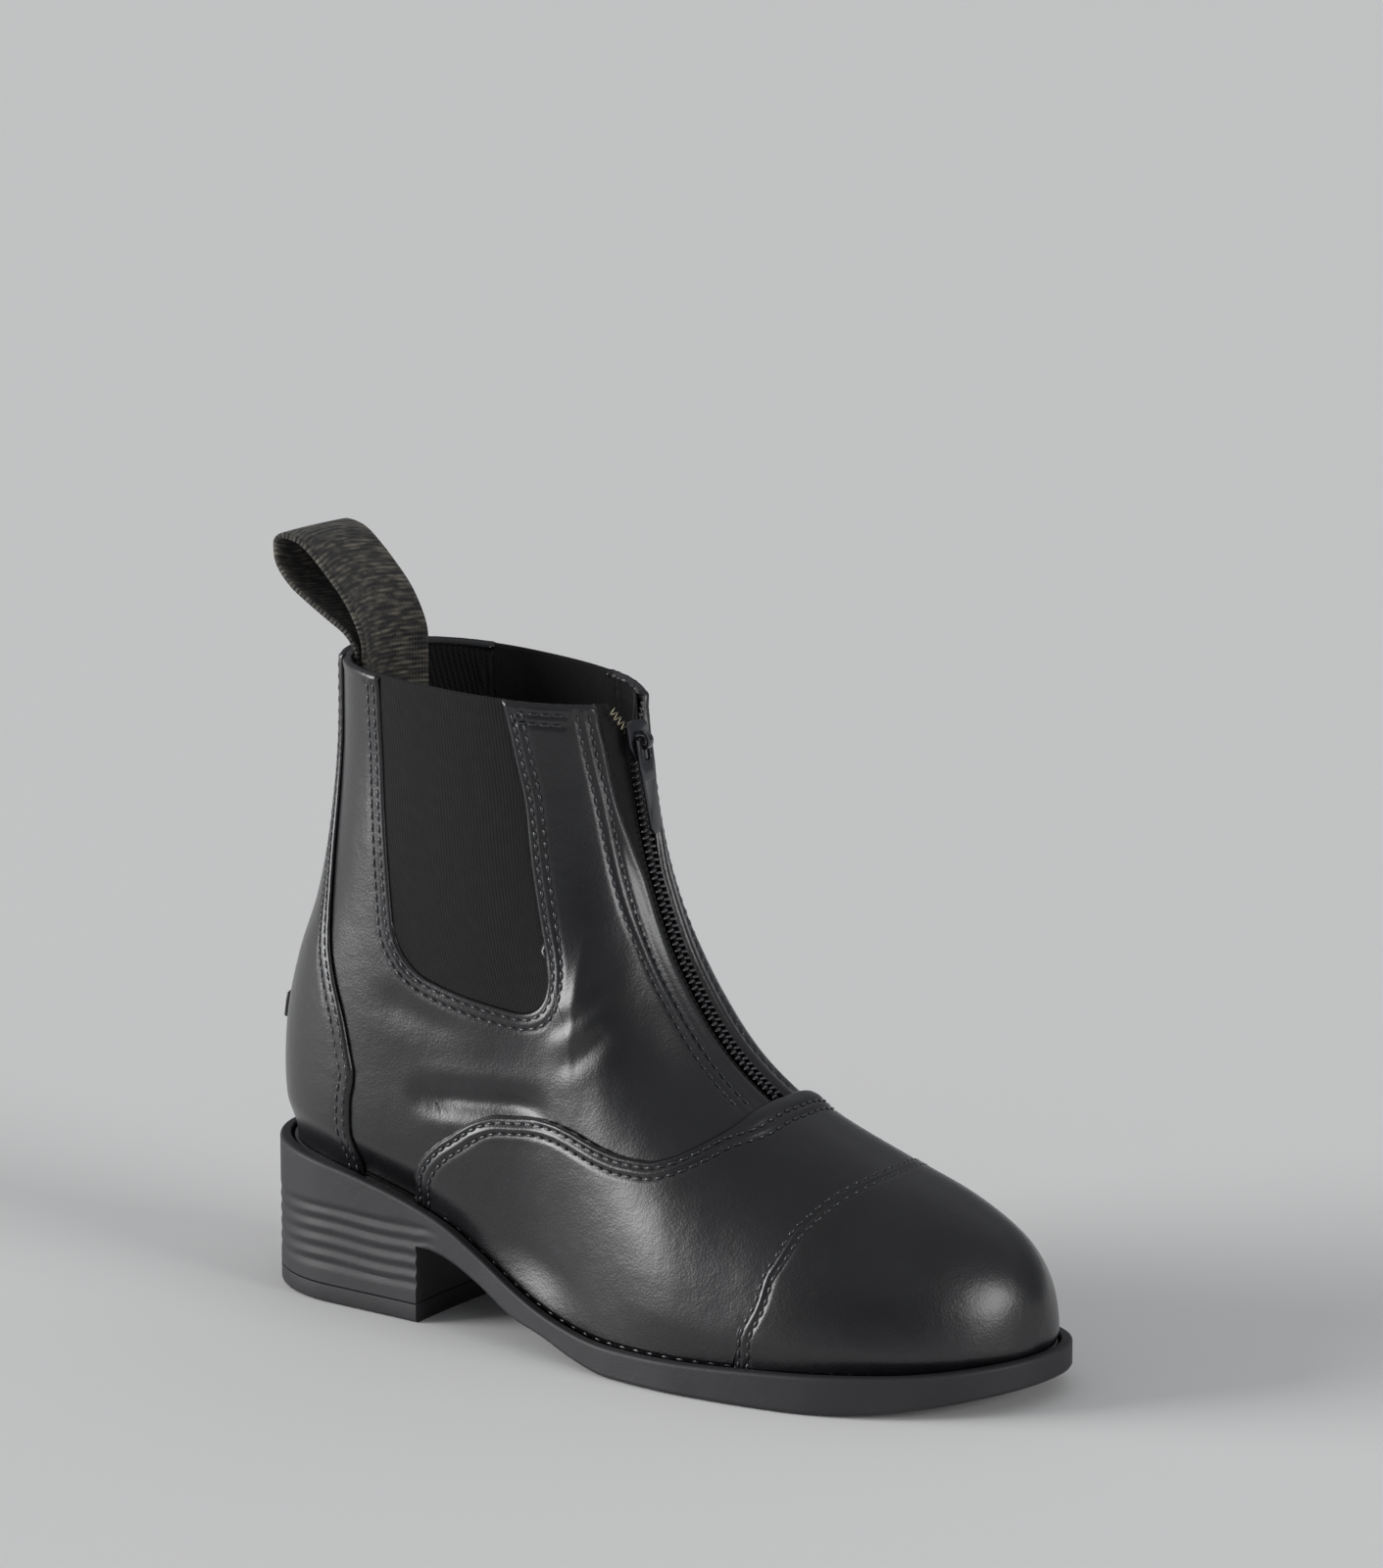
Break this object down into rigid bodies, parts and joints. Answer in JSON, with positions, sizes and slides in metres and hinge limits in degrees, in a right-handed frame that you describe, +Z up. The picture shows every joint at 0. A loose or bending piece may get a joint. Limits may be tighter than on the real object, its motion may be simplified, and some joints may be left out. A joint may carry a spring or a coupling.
{
  "type": "paddock boot",
  "caption": "Black leather ankle riding boot with a front zip, side elastic gores, toe cap, block heel and a fabric pull loop at the back.",
  "frame": {"origin": "centre of the heel's flat ground face", "axes": "+X from heel to toe, +Z up from the ground, +Y to the medial (inner) side of this right boot"},
  "size_m": [0.2325, 0.0853, 0.2],
  "materials": {
    "leather": "black satin leather with fine grain",
    "sole_rubber": "matt charcoal moulded rubber",
    "lift_rubber": "matt charcoal rubber heel lift",
    "welt": "glossy black stitched welt strip",
    "insole": "dark insole",
    "elastic": "black ribbed elastic",
    "zip_tape": "black woven zip tape",
    "zip_teeth": "dark zip teeth",
    "zip_metal": "black enamelled metal",
    "webbing": "grey and black ribbed webbing"
  },
  "bodies": {
    "boot": {"outsole": "sole_rubber", "top_lift": "lift_rubber", "welt": "welt", "insole": "insole", "upper": "leather", "vamp": "leather", "toe_cap": "leather", "counter": "leather", "spur_rest": "leather", "gore_lateral": "elastic", "gore_medial": "elastic", "tape_lateral": "zip_tape", "tape_medial": "zip_tape", "zip_chain": "zip_teeth", "zip_slider": "zip_metal", "pull_loop": "webbing"},
    "pull_tab": {"zip_pull": "zip_metal"}
  },
  "joints": [
    {"name": "pull_tab_hinge", "type": "hinge", "parent": "boot", "child": "pull_tab", "pos_m": [0.08165, 0, 0.15551], "axis": [0, -1, 0], "range_deg": [0, 150]}
  ]
}
